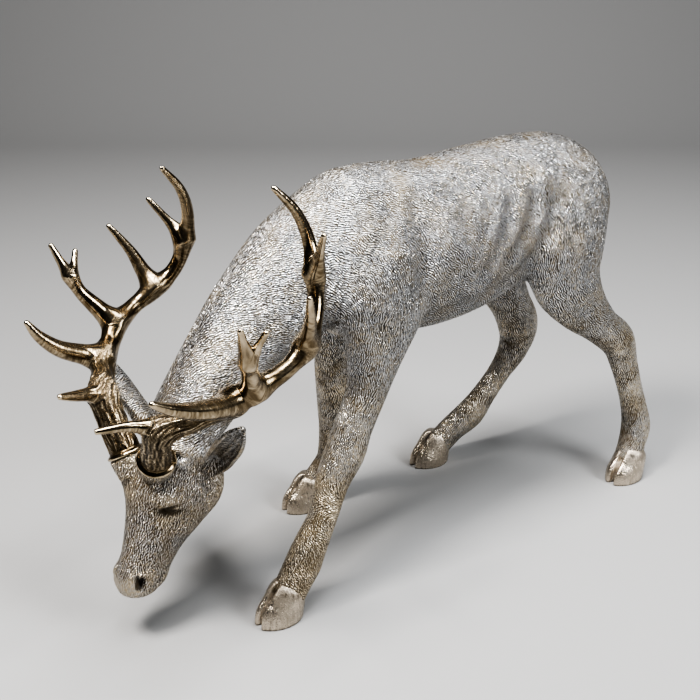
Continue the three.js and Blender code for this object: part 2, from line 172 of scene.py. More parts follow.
# The four legs in mid-step, cast with the trunk. Each runs from inside the trunk down into its
# hoof. A row is a place, the half width from side to side, and the depth of its front and its back.
LEG_NET = (110, 60)
LEGS = {
    "front_left": [
        (-46, -34, 300, 18, 30, 28), (-54, -42, 262, 20, 35, 39), (-66, -48, 228, 19, 26, 32.5),
        (-77, -52, 190, 17.5, 19, 19), (-93.5, -55, 160, 17.5, 17, 17), (-104, -57, 138, 18, 18, 18),
        (-119, -60, 115, 15.5, 15.5, 15), (-130, -63, 88, 14, 12.7, 12.1), (-148, -66, 58, 15, 16.5, 15),
        (-155, -67, 45, 16, 17.5, 15.5), (-164, -68, 31, 15.5, 17.5, 13.5), (-172, -69, 20, 15, 17, 14),
    ],
    "front_right": [
        (-48, 34, 300, 18, 30, 28), (-50, 42, 262, 20, 36, 34), (-46, 48, 228, 18, 27, 27),
        (-42, 54, 190, 17, 21, 22), (-41, 58, 160, 17, 19, 19), (-39, 61, 138, 18, 17.5, 19.5),
        (-38, 65, 115, 16, 15, 16.5), (-35.5, 69, 88, 14.5, 13.5, 14), (-35, 72, 58, 15, 13, 14),
        (-37, 73, 45, 15.5, 13, 16), (-48, 74, 31, 14.7, 13.5, 14), (-58, 75, 20, 14.6, 14, 13.5),
    ],
    "hind_left": [
        (173, -26, 325, 12, 26, 26), (171, -37, 280, 23, 52, 40), (168, -43, 245, 22, 43, 36.5),
        (184, -47, 214, 19, 31, 28), (214, -50, 183, 16, 21, 19), (239, -53, 158, 14.5, 18, 20),
        (251, -55, 132, 13.5, 15.5, 14), (261, -58, 102, 12.5, 14, 12.5), (269, -61, 74, 13, 15, 14),
        (271, -64, 54, 15, 16.5, 15.5), (265, -67, 36, 14.3, 16, 13), (259, -69, 20, 14.5, 17, 13),
    ],
    "hind_right": [
        (172, 26, 325, 12, 26, 26), (168, 37, 280, 23, 50, 40), (155, 44, 245, 22, 39, 36),
        (164, 48, 214, 19, 30, 27), (185, 52, 178, 16.5, 24, 23), (200, 55, 146, 16.5, 24, 25),
        (196, 57, 120, 14.5, 18, 19), (181, 60, 95, 12.5, 12, 12.5), (160.5, 62, 70, 12.8, 13, 13.5),
        (144.5, 64, 52, 14.8, 15.5, 17), (123.5, 69, 36, 14, 14, 15), (108, 73, 20, 14.2, 15, 13.5),
    ],
}
for name, rows in LEGS.items():
    shells[name] = limb(rows, LEG_NET)


# The head, cast with the neck, with two short bosses on the brow that carry the antlers. It has a
# frame of its own: forehead (out of the brow), left, and crown (from the nose up to the poll).
HEAD_NET, BOSS_SIDES = (110, 90), 48
HEAD_AT = np.array([-268.7, -9.2, 170.3])
CROWN = unit(np.array([0.322, 0.088, 0.943]))
HEAD_SIDE = np.array([0.185, -0.982, 0.028])
HEAD_LEFT = unit(HEAD_SIDE - HEAD_SIDE @ CROWN * CROWN)
HEAD_AXES = np.array([np.cross(HEAD_LEFT, CROWN), HEAD_LEFT, CROWN])
HEAD = [
    (-34, 0, 16, 13, 14, 16),
    (-33, 0, 8, 24, 26, 27),
    (-34, 0, -8, 31, 36, 42),
    (-33, 0, -24, 34, 41, 48),
    (-32, 0, -38, 34, 41, 46),
    (-30, 0, -56, 30, 35, 36),
    (-26, 0, -76, 24, 28, 29),
    (-22, 0, -96, 20, 23, 24.5),
    (-19, 0, -111, 18.5, 20.5, 25.5),
    (-19, 0, -121, 17, 19.5, 23),
    (-21, 0, -127.5, 13, 13, 18),
    (-22, 0, -131, 5.5, 5, 8),
]
ANTLER_FOOT = {1: [(4, 20, -3), (8, 24, 2)], -1: [(5, 18, -11), (9, 24, -1)]}
BOSS_RADIUS, BOSS_DEEP, SEAT_GAP = 15.5, 18.0, 0.3
BOSS_RIM = -SEAT_GAP / 2
BOSS_PROFILE = [
    (BOSS_RADIUS - 2, -BOSS_DEEP), (BOSS_RADIUS, BOSS_RIM - 2), (BOSS_RADIUS - 0.4, BOSS_RIM - 0.6),
    (BOSS_RADIUS - 1.2, BOSS_RIM),
]
UNLIKE_ANY_LINE = np.array([0.3, 1.0, 0.2])


def on_head(rows, side=1):
    """Rows whose first three numbers are forehead, left and crown, with those turned into places;
    side is -1 for the mirror image on the stag's right."""
    rows = np.array(rows, float)
    rows[:, 1] *= side
    rows[:, :3] = HEAD_AT + rows[:, :3] @ HEAD_AXES
    return rows


def turned(foot, line, profile, sides):
    """A closed solid of revolution: the profile's (radius, height) pairs turned round the line that
    leaves the foot."""
    across = unit(np.cross(line, UNLIKE_ANY_LINE))
    angle = np.linspace(0, 2 * np.pi, sides, endpoint=False)[None, :, None]
    radius, height = np.array(profile, float).T[..., None, None]
    outward = across * np.cos(angle) + np.cross(line, across) * np.sin(angle)
    return skinned(foot + line * height + radius * outward)


seats = {}
for side, rows in ANTLER_FOOT.items():
    foot, ahead = on_head(rows, side)
    seats[side] = foot, unit(ahead - foot)
    shells[f"boss{side}"] = turned(foot, seats[side][1], BOSS_PROFILE, BOSS_SIDES)
shells["head"] = limb(on_head(HEAD), HEAD_NET, HEAD_LEFT)


# The skin of the casting. All the shells above are poured as one closed surface, as the mould of the
# real one gives it, then filled out and smoothed where the limbs run into the trunk. A joint zone is
# its middle, its reach and how strongly it is smoothed.
VOXEL = 1.35
SMOOTH_ROUNDS, SMOOTH_SHARE = 4, 0.5
STEP_BACK = 0.95
JOINT_ZONES = [
    ((-58, 48, 236), (48, 34, 50), 1.6),
    ((172, 46, 236), (60, 34, 56), 1.6),
    ((-245, 0, 175), (34, 60, 40), 1.6),
]
JOINT_ROUNDS, JOINT_SHARE = (24), 0.6
FILLET, FILLET_REACH = 16.0, 5.0


def to_mesh(name, points, faces):
    """A mesh in metres in the shared frame from millimetre points and an array of faces."""
    mesh = bpy.data.meshes.new(name)
    mesh.vertices.add(len(points))
    mesh.vertices.foreach_set("co", ((points + SHIFT) * MM).astype(np.float32).ravel())
    corners = faces.shape[1]
    mesh.loops.add(faces.size)
    mesh.loops.foreach_set("vertex_index", faces.astype(np.int32).ravel())
    mesh.polygons.add(len(faces))
    mesh.polygons.foreach_set("loop_start", np.arange(0, faces.size, corners, dtype=np.int32))
    mesh.update(calc_edges=True)
    mesh.validate()
    return mesh


def from_mesh(mesh):
    """Millimetre points of the sculptor's frame and the triangles of a mesh."""
    points = np.empty(len(mesh.vertices) * 3, np.float32)
    mesh.vertices.foreach_get("co", points)
    mesh.calc_loop_triangles()
    faces = np.empty(len(mesh.loop_triangles) * 3, np.int32)
    mesh.loop_triangles.foreach_get("vertices", faces)
    return points.reshape(-1, 3).astype(float) / MM - SHIFT, faces.reshape(-1, 3)


def linked(name, data):
    """A new object in the scene."""
    thing = bpy.data.objects.new(name, data)
    bpy.context.collection.objects.link(thing)
    return thing


def reworked(points, faces, kind, **settings):
    """The same surface after one Blender modifier."""
    rough = linked("rough", to_mesh("rough", points, faces))
    modifier = rough.modifiers.new("rework", kind)
    for key, value in settings.items():
        setattr(modifier, key, value)
    done = rough.evaluated_get(bpy.context.evaluated_depsgraph_get())
    result = from_mesh(done.to_mesh())
    done.to_mesh_clear()
    mesh = rough.data
    bpy.data.objects.remove(rough)
    bpy.data.meshes.remove(mesh)
    return result


def merged(shell_list):
    """Several (points, faces) shells as one pair of arrays."""
    starts = np.cumsum([0] + [len(points) for points, _ in shell_list[:-1]])
    points = np.concatenate([points for points, _ in shell_list])
    return points, np.concatenate([faces + start for (_, faces), start in zip(shell_list, starts)])


def edges_of(faces):
    """Every edge of the triangles once, as pairs of vertex numbers."""
    pairs = np.sort(np.concatenate([faces[:, [0, 1]], faces[:, [1, 2]], faces[:, [2, 0]]]), axis=1)
    codes = np.unique(pairs[:, 0].astype(np.int64) * 2**32 + pairs[:, 1])
    return np.stack([codes >> 32, codes & (2**32 - 1)], -1)


def averaged(values, edges):
    """Each vertex's mean of the values at its neighbours."""
    a, b = edges.T
    size = len(values)
    count = np.bincount(a, minlength=size) + np.bincount(b, minlength=size)
    columns = values.reshape(size, -1).T
    total = [np.bincount(a, column[b], size) + np.bincount(b, column[a], size) for column in columns]
    return (np.array(total) / np.maximum(count, 1)).T.reshape(values.shape)


def relaxed(points, edges, rounds, share):
    """Moves each point its share of the way to its neighbours' mean, round after round, with a small
    step back after each, so that the form doesn't shrink."""
    share = np.asarray(share, float).reshape(-1, 1)
    for _ in range(rounds):
        points = points + share * (averaged(points, edges) - points)
        points = points - STEP_BACK * share * (averaged(points, edges) - points)
    return points


def normals_of(points, faces):
    """Vertex normals, weighted by the area of the faces round each."""
    a, b, c = (points[faces[:, k]] for k in range(3))
    face = np.cross(b - a, c - a)
    total = [
        sum(np.bincount(faces[:, k], face[:, axis], len(points)) for k in range(3))
        for axis in range(3)
    ]
    return unit(np.stack(total, -1))


def poured(shell_list, voxel):
    """One closed skin round all the shells, in triangles about a voxel wide."""
    return reworked(*merged(shell_list), "REMESH", mode="VOXEL", voxel_size=voxel * MM)


def mirrored(points):
    """The points with those of the right flank turned over onto the left one's side of zero."""
    return np.stack([points[:, 0], np.abs(points[:, 1]), points[:, 2]], -1)


def bell(x):
    """1 in the middle, near 0 past 2."""
    return np.exp(-x * x)


def distance_to(points, line):
    """How far each point, of the plane or of space, is from a broken line."""
    line = np.array(line, float)
    least = np.full(len(points), np.inf)
    for start, end in zip(line[:-1], line[1:]):
        run = end - start
        along = np.clip((points - start) @ run / (run @ run), 0, 1)
        least = np.minimum(least, np.linalg.norm(points - start - along[:, None] * run, axis=1))
    return least


def forms(points, places, lines=()):
    """The sum of bells, each times its height: a place's is 1 at its middle and near 0 past twice
    its reach on any axis, a line's is 1 along it and near 0 past twice its half width."""
    total = np.zeros(len(points))
    for centre, reach, height in places:
        total += height * bell(np.linalg.norm((points - centre) / reach, axis=1))
    for line, half, height in lines:
        total += height * bell(distance_to(points, line) / half)
    return total


skin, skin_faces = poured(list(shells.values()), VOXEL)
skin_edges = edges_of(skin_faces)
skin = relaxed(skin, skin_edges, SMOOTH_ROUNDS, SMOOTH_SHARE)
away = {name: nearness(skin, rows)[0] for name, rows in {"trunk": TRUNK, **LEGS}.items()}
away["head"] = nearness(skin, on_head(HEAD), HEAD_LEFT)[0]
fillets = np.zeros(len(skin))
for name, apart in away.items():
    if name != "trunk":
        overlap = np.maximum(FILLET - np.abs(away["trunk"] - apart), 0)
        near_both = bell(np.minimum(away["trunk"], apart) / FILLET_REACH)
        fillets += overlap**2 / (4 * FILLET) * near_both
skin = skin + normals_of(skin, skin_faces) * fillets[:, None]
at_joint = np.clip(forms(mirrored(skin), JOINT_ZONES), 0, 1)
skin = relaxed(skin, skin_edges, JOINT_ROUNDS, at_joint * JOINT_SHARE)


# The flanks: muscle and bone under the hide, and the hide's folds, cast with the trunk. A swelling
# is its middle, reach and height, on both flanks. A fold is its line as seen from the side, its half
# width, and its height or depth, and fades out where the flank turns away.
SWELLINGS = [
    ((-62, 50, 318), (34, 40, 46), 4.0),
    ((-92, 46, 262), (30, 40, 34), 6.0),
    ((-40, 50, 258), (26, 40, 30), 4.0),
    ((40, 56, 285), (60, 60, 46), 2.5),
    ((122, 40, 345), (20, 30, 16), 4.5),
    ((168, 48, 290), (34, 40, 60), 4.0),
    ((222, 30, 300), (24, 30, 40), 3.0),
]
FOLDS = [
    ([(-23, 340), (-20, 325), (-22, 305), (-26, 280)], 10.0, -3.0),
    ([(-50, 340), (-62, 326), (-70, 310)], 10.0, -1.8),
    ([(-4, 334), (-13, 315), (-13, 290)], 9.0, -1.4),
    ([(34, 330), (26, 312), (16, 290), (8, 268)], 9.0, -1.2),
    ([(58, 330), (48, 312), (36, 292), (26, 272)], 9.0, -1.3),
    ([(84, 330), (74, 312), (60, 292), (46, 272)], 9.0, -1.9),
    ([(98, 332), (92, 314), (78, 296), (60, 278)], 8.0, 1.4),
    ([(113, 334), (108, 316), (96, 300), (76, 282)], 9.0, -2.4),
    ([(124, 312), (116, 294), (102, 278), (84, 264)], 8.0, 1.2),
    ([(136, 320), (130, 300), (118, 282), (98, 266), (78, 254)], 10.0, -2.4),
    ([(180, 300), (176, 274), (173, 252)], 10.0, -1.4),
    ([(-10, 240), (15, 242), (44, 244), (66, 251), (92, 260)], 9.0, -1.6),
    ([(26, 344), (49, 348), (74, 352)], 9.0, -1.2),
    ([(-88, 262), (-79, 262), (-72, 248)], 9.0, -1.8),
    ([(-126, 288), (-118, 270), (-104, 258)], 10.0, -1.8),
]
FOLDS_FROM, FOLDS_FADE = 22.0, 16.0


def flank_relief(points):
    """The sum of the swellings and the folds, in millimetres."""
    on_side = np.clip((np.abs(points[:, 1]) - FOLDS_FROM) / FOLDS_FADE, 0, 1)
    return forms(mirrored(points), SWELLINGS) + on_side * forms(points[:, [0, 2]], [], FOLDS)


# The face, cut in the same casting and alike on both cheeks, in the head's frame: first the brow,
# the socket, the eyeball, the cheek and the muzzle, then the lines of the lids, nostrils and lips.
FACE_FORMS = [
    ((-6.5, 28, -35.5), (10, 10, 7.5), 6.4),
    ((-15, 29, -46.5), (12, 12, 7), -4.2),
    ((-17, 29.3, -44.2), (5.2, 5.2, 4.0), 2.0),
    ((-10, 24.6, -47.8), (3.4, 3.4, 3.0), -3.2),
    ((-58, 26, -34), (22, 20, 22), 3.0),
    ((-34, 14, -74), (14, 12, 18), -2.0),
    ((-36, 24, -60), (12, 14, 12), 1.5),
    ((-2.5, 10.5, -111.5), (5.0, 4.5, 7), 3.2),
    ((-13, 18.5, -107), (6, 5, 6), 1.8),
    ((-9.3, 16.2, -114.4), (3.6, 4.8, 4.8), -5.4),
    ((-11.5, 16.5, -115.6), (1.8, 2.4, 2.2), 1.8),
    ((-3, 8, -121), (6, 6, 6), 2.0),
]
FACE_LINES = [
    ([(-8.6, 23.8, -46.0), (-10, 28, -41), (-14.5, 31.5, -39.2), (-21, 34, -37.6)], 1.5, -2.2),
    ([(-9.6, 23.6, -49.8), (-14, 26, -50.4), (-18, 28.5, -49.4), (-22.8, 31, -45)], 1.5, -1.8),
    ([(-11, 23, -53), (-17, 27, -53.5), (-24, 31, -49)], 2.2, 1.2),
    ([(-7, 28, -38.5), (-13, 32.5, -36), (-21, 35, -34.5)], 2.0, 1.2),
    ([(-8, 21, -53), (-8, 20, -60), (-10, 19, -70)], 3.4, -1.2),
    ([(-5.4, 13.4, -109.6), (-6.4, 14.6, -113.6), (-8.6, 15.8, -117.4), (-12, 17, -119.6)], 1.7, -2.4),
    ([(-13.5, 13.5, -124), (-22, 16, -119), (-29, 17.5, -111), (-34, 18, -102)], 1.6, -1.8),
    ([(-24, 22, -70), (-22, 20, -86), (-22, 19, -98)], 5.0, -0.9),
]


def on_cheek(points):
    """Places in the head's frame, with the right cheek turned over onto the left one."""
    return mirrored((points - HEAD_AT) @ HEAD_AXES.T)


relief = flank_relief(skin) + forms(on_cheek(skin), FACE_FORMS, FACE_LINES)
skin = skin + normals_of(skin, skin_faces) * relief[:, None]


# The coat: short tufts carved along the hair's way, back along the neck, down and back on the flanks,
# and down the legs. The tufts are in the mesh, and the chisel strokes between them are in the
# finish. LIE_FALL is how far the hair falls below straight back, in degrees, at each LIE_AT.
LIE_AT = [-250, -160, -100, -40, 60, 170, 235]
LIE_FALL = [-20, 5, 28, 44, 50, 56, 80]
SPINE_ANGLE, SPINE_HALF, SPINE_LEVEL = np.pi / 2, 0.5, 0.6
LIMB_PULL, LIMB_LEAD, LEG_BLEND, HEAD_BLEND = 6, 4, 4, 3
TUFT_SIZE, TUFT_WIDTH, TUFT_HEIGHT, TUFT_TURN = 10.0, 3.9, 0.45, 0.7
TUFT_PERIOD, TUFT_SEED = 24, 3
LEG_TUFTS, LEG_TOP, LEG_FADE, HEAD_CLEAR = 0.45, 215, 50, 25
BARE_PLACES = [((-5, 8, -119), (9, 10, 8), 1.3), ((-15.5, 28.5, -45.5), (7, 7, 6), 1.2)]
TRIANGLE_BUDGET = 146_000


def hair_lie(points):
    """The way the hair lies at each point: on the trunk it falls by LIE_FALL, less near the spine; on
    a leg it follows the leg, and on the head it runs up to the poll. A limb takes over as
    1 / (1 + exp(d)), where d grows as the point gets nearer to the trunk than to the limb."""
    trunk, _, _, round_trunk = nearness(points, TRUNK)
    level = 1 - SPINE_LEVEL * bell((round_trunk - SPINE_ANGLE) / SPINE_HALF)
    fall = np.radians(np.interp(points[:, 0], LIE_AT, LIE_FALL) * level)
    lie = np.stack([np.cos(fall), np.zeros(len(points)), -np.sin(fall)], -1)
    for rows in LEGS.values():
        apart, _, line, _ = nearness(points, rows)
        lie += LIMB_PULL * line * (1 / (1 + np.exp((apart - trunk + LIMB_LEAD) / LEG_BLEND)))[:, None]
    apart = nearness(points, on_head(HEAD), HEAD_LEFT)[0]
    on_skull = 1 / (1 + np.exp((apart - trunk + LIMB_LEAD) / HEAD_BLEND))
    return unit(lie + LIMB_PULL * CROWN * on_skull[:, None])


def tufts(points, normals, lie):
    """Ridges from 0 to 1. Each point belongs to the nearest of a jittered set of tuft centres, and
    within a tuft the height is a cosine across the hair's lie, turned a little at random."""
    chance = np.random.default_rng(TUFT_SEED).random((TUFT_PERIOD, TUFT_PERIOD, TUFT_PERIOD, 5))
    cell = np.floor(points / TUFT_SIZE).astype(int)
    least = np.full(len(points), np.inf)
    offset = np.zeros_like(points)
    own_draw = np.zeros((len(points), 2))
    for step in np.ndindex(3, 3, 3):
        other = cell + np.array(step) - 1
        draw = chance[tuple((other % TUFT_PERIOD).T)]
        towards = points - (other + draw[:, :3]) * TUFT_SIZE
        apart = (towards**2).sum(1)
        nearer = apart < least
        least = np.where(nearer, apart, least)
        offset[nearer] = towards[nearer]
        own_draw[nearer] = draw[nearer, 3:]
    across = unit(np.cross(normals, lie)) + lie * ((own_draw[:, :1] - 0.5) * TUFT_TURN)
    return 0.5 + 0.5 * np.cos(2 * np.pi * ((offset * across).sum(1) / TUFT_WIDTH + own_draw[:, 1]))


def hairy(points):
    """1 where the coat is carved, 0 on the nose, the lips and round the eyes."""
    return np.clip(1 - forms(on_cheek(points), BARE_PLACES), 0, 1)


def on_legs(points):
    """1 on the legs below the belly, where the strokes are fine and rubbed and the finish carries painted
    shade, and 0 above.
    """
    below = np.clip((LEG_TOP - points[:, 2]) / LEG_FADE, 0, 1)
    return below * (nearness(points, on_head(HEAD), HEAD_LEFT)[0] > HEAD_CLEAR)


normals = normals_of(skin, skin_faces)
ridges = tufts(skin, normals, hair_lie(skin))
height = TUFT_HEIGHT * (1 + (LEG_TUFTS - 1) * on_legs(skin))
skin = skin + normals * ((ridges - 0.5) * height * hairy(skin))[:, None]
kept_share = min(1.0, TRIANGLE_BUDGET / len(skin_faces))
skin, skin_faces = reworked(skin, skin_faces, "DECIMATE", ratio=kept_share)


# The ears: cast with the head, each a leaf with a thin rim round a deep hollow. A row is a place on
# the head, half width, the rise of the back and how far the rims stand forward. The far ear is
# turned a little differently and stands further out: EAR_EDGE points from rim to rim.
EAR = [
    (-42, 24, -14, 7, 7, 7), (-41, 35, -5, 9.5, 9, 7), (-36, 48, 5, 11.5, 9, 7),
    (-30, 60, 16, 12, 8, 7), (-25, 71, 27, 11.5, 6.5, 6), (-22, 79, 37, 8.5, 4.5, 4.5),
    (-20.5, 86, 46, 2.5, 2, 2),
]
EAR_EDGE = {1: np.array([-0.72, 0.57, -0.39]), -1: np.array([-0.974, 0.185, 0.113])}
EAR_SPREAD = {1: 0.0, -1: 6.0}
EAR_RINGS, EAR_BACK, EAR_HOLLOW = 60, 36, 32
EAR_THICK, EAR_LEAST, EAR_WRAP, EAR_DEPTH = 2.2, 0.4, 0.62, 0.62
HOLLOW_FROM, HOLLOW_EASE, HOLLOW_END = 0.14, 0.16, 0.12
RIM_ROUND, HOLLOW_SHAPE = 0.35, 0.8
FIBRE_HIGH, FIBRE_COUNT, FIBRE_SWAY, FIBRE_BENDS = 0.7, 9, 2, 5


def ear(side):
    """A leaf whose section is a closed crescent: the back is an oval from rim to rim, and the hollow
    is a shallower arc that comes back inside it, with fine fibres as a cosine round the arc."""
    rim_way = side * ((EAR_EDGE[side] * (1, side, 1)) @ HEAD_AXES)
    rows = np.array(EAR, float)
    rows[:, 1] += EAR_SPREAD[side] * np.linspace(0, 1, len(EAR))
    at = sections(on_head(rows, side), EAR_RINGS, rim_way)[:, None]
    along = np.linspace(0, 1, EAR_RINGS)[:, None]
    lip = np.arcsin(EAR_WRAP)
    back = np.linspace(-lip, np.pi + lip, EAR_BACK)[None]
    wide, rise, drop = at[..., 12], at[..., 13], at[..., 14]
    back_x = wide * np.cos(back)
    back_y = np.where(np.sin(back) > 0, rise, drop) * np.sin(back)
    inside = np.linspace(0, np.pi, EAR_HOLLOW + 2)[None, 1:-1]
    deep = np.clip((along - HOLLOW_FROM) / HOLLOW_EASE, 0, 1) * np.clip((1 - along) / HOLLOW_END, 0, 1)
    rim_y = -np.sin(lip) * drop
    floor_y = rim_y + (np.maximum(rise - EAR_THICK, EAR_LEAST) - rim_y) * deep * EAR_DEPTH
    waves = np.cos(inside * FIBRE_COUNT + FIBRE_SWAY * np.sin(FIBRE_BENDS * along))
    fibres = FIBRE_HIGH * deep * waves * np.sin(inside)**2
    hollow_x = -(wide * np.cos(lip) - EAR_THICK * RIM_ROUND) * np.cos(inside)
    hollow_y = rim_y + (floor_y - rim_y) * np.sin(inside)**HOLLOW_SHAPE + fibres
    x = np.concatenate([back_x, hollow_x], 1)[..., None]
    y = np.concatenate([back_y, hollow_y], 1)[..., None]
    return skinned(at[..., 0:3] + at[..., 6:9] * x + at[..., 9:12] * y)


# The hooves: cast with the legs, cloven, smooth and flat on the floor. A row is height, how far back
# its middle is set, half width, toe reach and heel reach. HOOVES says where each stands and how far
# its toe is turned out, in radians.
HOOF = [
    (33, 10, 12, 13.5, 11), (29.5, 9, 14.8, 16.3, 14.3), (24.5, 7.5, 16.2, 18.6, 16.2),
    (15, 4, 17.3, 21.0, 18.3), (5, 0, 18, 25.0, 20.5), (1.5, 0, 17.6, 25.4, 20), (-4, 0, 16, 23, 18.5),
]
HOOVES = {
    "front_left": (-180, -69, 0.10), "front_right": (-66, 75.5, 0.02),
    "hind_left": (254, -71, 0.12), "hind_right": (99.5, 75, 0.02),
}
HOOF_NET = (44, 90)
CLEFT_HALF, CLEFT_DEEP, CLEFT_BACK, CLEFT_EASE = 2.4, 7.0, 4.0, 14.0
TOE_SWELL, TOE_SIDE, TOE_HALF = 0.8, 6.0, 4.0


def hoof(x, y, toe_out):
    """The hoof's rows as a limb that stands on end, with the cleft pressed into the front and the
    toes swollen beside it, both as bells across the hoof, then turned and set on its place."""
    points, faces = limb([(back, 0, z, half, toe, heel) for z, back, half, toe, heel in HOOF], HOOF_NET)
    front = np.clip((CLEFT_BACK - points[:, 0]) / CLEFT_EASE, 0, 1)
    points[:, 0] += CLEFT_DEEP * bell(points[:, 1] / CLEFT_HALF) * front
    points[:, 0] -= TOE_SWELL * bell((np.abs(points[:, 1]) - TOE_SIDE) / TOE_HALF) * front
    points[:, 2] = np.maximum(points[:, 2], 0)
    c, s = math.cos(toe_out), math.sin(toe_out)
    return points @ np.array([[c, s, 0], [-s, c, 0], [0, 0, 1]]) + (x, y, 0), faces


# The whole casting: skin, ears and hooves as one piece in place of the solid stag. Its vertices also
# carry what the finish needs to know of the form: the hair's lie, the horn of the hooves, how hollow
# the surface is, the spine and the face, and where the dark patina was left thick.
RECESS_ROUNDS = 6
RIDGE_HALF, RIDGE_REACH, FACE_BLEND = 0.32, 8.0, 6.0
INK_PLACES = [
    ((-10, 24.4, -48), (3.2, 3.2, 2.6), 1.4),
    ((-17, 29.3, -44.4), (4.6, 4.6, 2.8), 0.55),
    ((-9.3, 16, -114.6), (2.8, 4.0, 4.4), 1.5),
]
INK_LINES = [
    ([(-9, 24.5, -46), (-11, 28.5, -41.6), (-15, 31.8, -40), (-21, 34, -38.2)], 1.5, 0.9),
    ([(-11, 24.4, -49.6), (-18, 28, -49), (-22.5, 30.6, -45)], 1.2, 0.6),
]


def blender_object(name, points, faces):
    """A smooth-shaded object in the scene from millimetre points and triangles."""
    mesh = to_mesh(name, points, faces)
    mesh.shade_smooth()
    return linked(name, mesh)


def within(points, node):
    """The points, with any that lie outside the node's own box in the frame set onto its wall."""
    low, high = np.array(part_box(node)) / MM - SHIFT
    return np.clip(points, low, high)


def put_attributes(piece, **fields):
    """Values or vectors on every vertex, by name, for the finish to read."""
    for name, values in fields.items():
        kind, slot = ("FLOAT", "value") if values.ndim == 1 else ("FLOAT_VECTOR", "vector")
        stored = piece.data.attributes.new(name, kind, "POINT")
        stored.data.foreach_set(slot, values.astype(np.float32).ravel())


def hollowness(points, faces, rounds):
    """How far each point lies below the surface smoothed round it, in millimetres."""
    edges = edges_of(faces)
    smooth = points
    for _ in range(rounds):
        smooth = averaged(smooth, edges)
    return ((smooth - points) * normals_of(points, faces)).sum(1)


def along_spine(points):
    """1 on the ridge of the back and the neck, where the finish is made darker, and 0 off it."""
    apart, _, _, angle = nearness(points, TRUNK)
    return bell((angle - SPINE_ANGLE) / RIDGE_HALF) * bell(np.maximum(apart, 0) / RIDGE_REACH)


def on_face(points):
    """1 on the head and the ears, 0 on the neck and the rest."""
    nearer_by = nearness(points, TRUNK)[0] - nearness(points, on_head(HEAD), HEAD_LEFT)[0]
    return np.clip(nearer_by / FACE_BLEND, 0, 1)


def inked(points):
    """1 where the patina was left thick: the eye's corner and ball, the nostril, and both lids."""
    return np.clip(forms(on_cheek(points), INK_PLACES, INK_LINES), 0, 1)


ears = [ear(1), ear(-1)]
hooves = [hoof(*place) for place in HOOVES.values()]
body, body_faces = merged([(skin, skin_faces), *ears, *hooves])
stag = blender_object("stag_casting", within(body, "stag"), body_faces)
of_hoof = np.zeros(len(body))
of_hoof[-sum(len(points) for points, _ in hooves):] = 1
put_attributes(
    stag, lie=hair_lie(body), coat=hairy(body) * (1 - of_hoof), horn=of_hoof,
    recess=hollowness(body, body_faces, RECESS_ROUNDS), spine=along_spine(body), ink=inked(body),
    face=on_face(body), leg=on_legs(body),
)
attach(stag, "root")
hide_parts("stag")


# The antlers: two castings of a brassy metal, each with a ring at its foot that seats on a boss, a
# beam grooved like bark near it, and smooth tines. A row is forehead, left, crown and radius in the
# head's frame, with left mirrored on the right antler, and the first rows of each are the beam's.
ANTLERS = {
    "antler_left": (1, [
        [(4, 20, -3, 13), (8, 24, 2, 12.5), (16, 31, 11, 12), (25, 45, 30, 11.5), (12, 66, 48, 9.5),
         (-8, 85, 69, 9.5), (-17, 94, 80, 8.5), (-37, 102, 99, 7.5), (-53, 102, 119, 7.5),
         (-63, 94, 146, 6.8), (-61, 85, 175, 6.5), (-52, 79, 201, 5.4), (-37, 75, 219, 4.3),
         (-14, 70, 233, 1.6)],
        [(22, 44, 30, 9.5), (36, 41, 33, 6), (52, 38, 33, 4.4), (76, 31, 27, 1.6)],
        [(-6, 85, 68, 10.5), (12, 91, 65, 9), (39, 93, 63, 7.2), (62, 95, 65, 4.8), (80, 95, 69, 1.8)],
        [(-16, 93, 79, 10), (-2, 103, 91, 7.6), (18, 115, 109, 5.5), (45, 132, 134, 1.6)],
        [(14, 113, 106, 3.5), (17, 123, 120, 2.6), (20, 132, 134, 1.3)],
        [(-54, 101, 118, 9), (-43, 111, 130, 6.8), (-31, 122, 143, 4.8), (-12, 135, 162, 1.6)],
        [(-61, 85, 171, 7.5), (-54, 94, 184, 5.4), (-47, 101, 193, 3.8), (-35, 113, 207, 1.5)],
    ]),
    "antler_right": (-1, [
        [(5, 18, -11, 13.5), (9, 24, -1, 13), (14, 32, 11, 12.5), (20, 46, 34, 11.5), (9, 66, 45, 10),
         (-2, 83, 56, 9.5), (-20, 99, 82, 8.5), (-37, 103, 100, 7.5), (-53, 99, 117, 7.5),
         (-65, 93, 139, 6.8), (-65, 85, 166, 6.5), (-55, 78, 192, 5.4), (-39, 74, 211, 4.3),
         (-14, 72, 226, 1.6)],
        [(18, 44, 34, 10), (34, 41, 35, 6.4), (52, 38, 34, 4.6), (71, 32, 35, 1.6)],
        [(-2, 82, 55, 11), (16, 88, 56, 9.2), (41, 90, 60, 7.2), (60, 93, 69, 5), (73, 95, 80, 1.8)],
        [(-20, 99, 81, 10.5), (-3, 108, 93, 8), (16, 117, 108, 5.5), (41, 131, 141, 1.6)],
        [(22, 120, 116, 4), (18, 125.5, 127, 2.8), (16, 131, 139, 1.3)],
        [(-53, 99, 116, 9.5), (-43, 110, 131, 7), (-33, 120, 146, 4.8), (-16, 136, 164, 1.6)],
        [(-65, 86, 163, 8), (-57, 94, 174, 5.6), (-49, 100, 182, 3.8), (-36, 113, 195, 1.5)],
    ]),
}
SEAT_TOP = SEAT_GAP / 2
BURR_RADIUS, BURR_HIGH, BURR_FADE, BURR_SIDES = 16.5, 4.5, 4.0, 64
BURR_PROFILE = [
    (BURR_RADIUS - 1.4, SEAT_TOP), (BURR_RADIUS - 0.2, SEAT_TOP + 0.6), (BURR_RADIUS, SEAT_TOP + 1.8),
    (BURR_RADIUS - 0.8, SEAT_TOP + 3.0), (BURR_RADIUS - 3, BURR_HIGH),
]
ANTLER_VOXEL = 0.9
